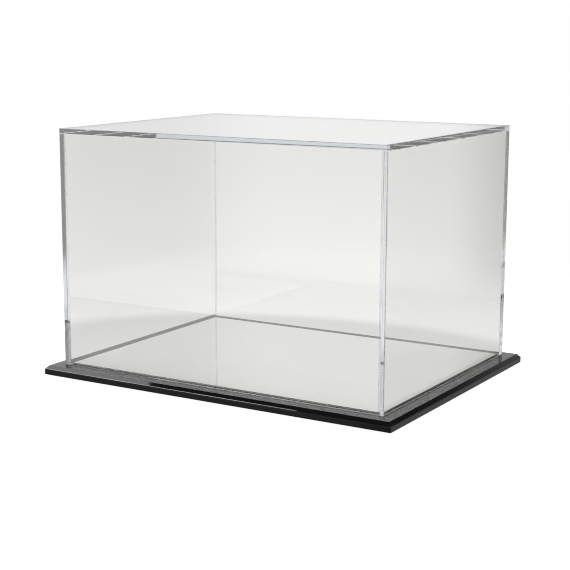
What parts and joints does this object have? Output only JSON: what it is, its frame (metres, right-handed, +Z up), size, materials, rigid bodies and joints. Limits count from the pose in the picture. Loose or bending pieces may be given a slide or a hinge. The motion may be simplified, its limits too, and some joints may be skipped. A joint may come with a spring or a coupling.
{
  "type": "football display case",
  "caption": "Clear five-sided box cover that lifts straight off a black bevelled base with a mirrored deck, for showing one football.",
  "frame": {"origin": "centre of the footprint, on the plane of the feet's undersides", "axes": "+X along the long side, to the right seen from the front; +Y towards the back; +Z up, the way the cover lifts"},
  "size_m": [0.3398, 0.2636, 0.2178],
  "materials": {
    "black_acrylic": "polished black acrylic with a bevelled top edge",
    "clear_acrylic": "clear cast acrylic, polished faces, sawn and scraped edges",
    "clear_cement": "clear acrylic cement",
    "mirror_face": "second-surface acrylic mirror",
    "mirror_paint": "grey protective paint over the silvering",
    "foam_tape": "white double-sided tape",
    "clear_rubber": "translucent soft bumper"
  },
  "bodies": {
    "base": {"base_plate": "black_acrylic", "mirror_tape": "foam_tape", "mirror_backing": "mirror_paint", "mirror_panel": "mirror_face", "foot_front_left": "clear_rubber", "foot_front_right": "clear_rubber", "foot_back_left": "clear_rubber", "foot_back_right": "clear_rubber"},
    "cover": {"cover_front_pane": "clear_acrylic", "cover_back_pane": "clear_acrylic", "cover_left_pane": "clear_acrylic", "cover_right_pane": "clear_acrylic", "cover_top_pane": "clear_acrylic", "cover_corner_cement": "clear_cement", "cover_top_cement": "clear_cement"}
  },
  "joints": [
    {"name": "cover_lift", "type": "slide", "parent": "base", "child": "cover", "axis": [0, 0, 1], "range_m": [0, 0.22]}
  ]
}
